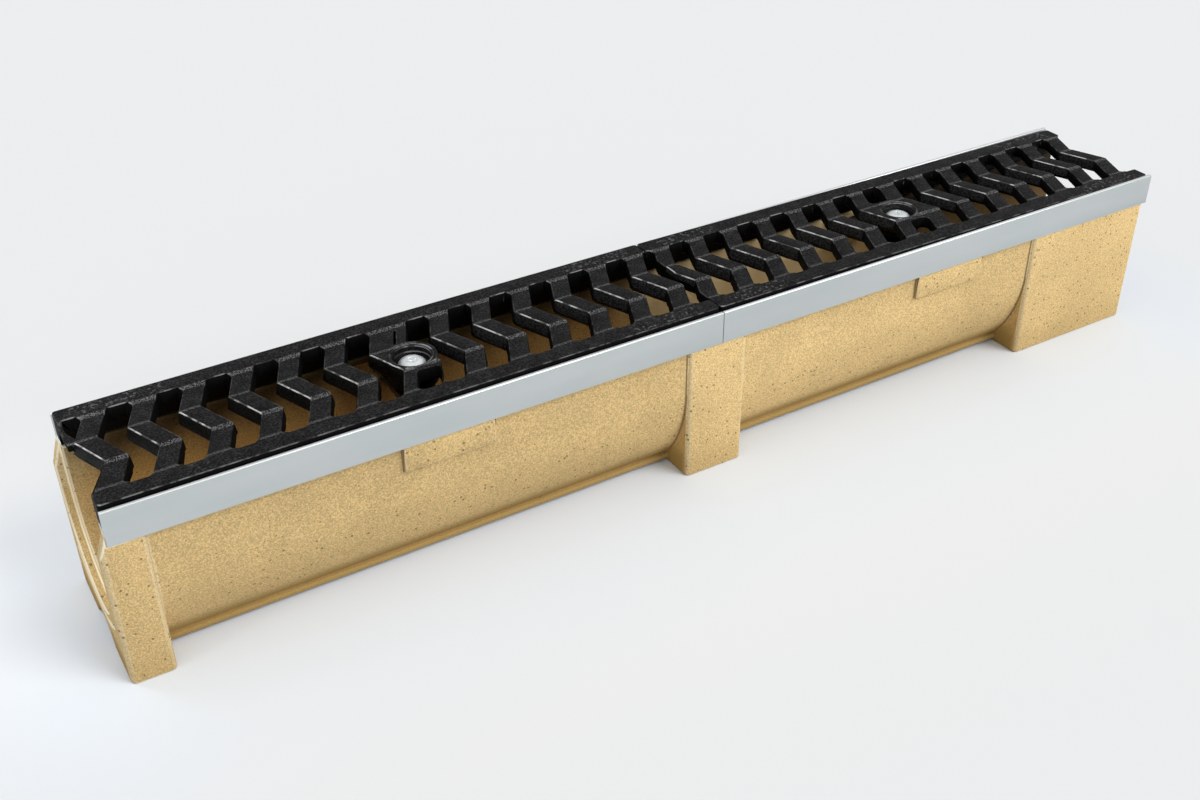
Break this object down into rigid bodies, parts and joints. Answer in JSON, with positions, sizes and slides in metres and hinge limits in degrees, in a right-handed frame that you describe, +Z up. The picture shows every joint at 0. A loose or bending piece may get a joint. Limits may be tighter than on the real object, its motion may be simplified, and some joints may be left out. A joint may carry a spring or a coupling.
{
  "type": "linear drainage channel",
  "caption": "Linear drainage channel: ribbed sand-coloured polymer concrete trough with galvanised edge rails and bolted cast-iron grates with zigzag slots.",
  "frame": {"origin": "middle of the underside", "axes": "+X along the run from the socket end to the spigot end, +Z up, -Y the side seen in the picture"},
  "size_m": [1.007, 0.14, 0.1565],
  "materials": {
    "polymer_concrete": "matte",
    "galvanised_sheet": "satin",
    "black_iron": "satin",
    "zinc_steel": "satin"
  },
  "bodies": {
    "root": {"channel_body": "polymer_concrete", "edge_rail_front_left": "galvanised_sheet", "edge_rail_front_right": "galvanised_sheet", "edge_rail_back_left": "galvanised_sheet", "edge_rail_back_right": "galvanised_sheet", "grate_left": "black_iron", "grate_right": "black_iron", "locking_bar_left": "zinc_steel", "locking_bar_right": "zinc_steel", "lock_bolt_left": "zinc_steel", "lock_bolt_right": "zinc_steel", "lock_nut_left": "zinc_steel", "lock_nut_right": "zinc_steel"}
  },
  "joints": []
}
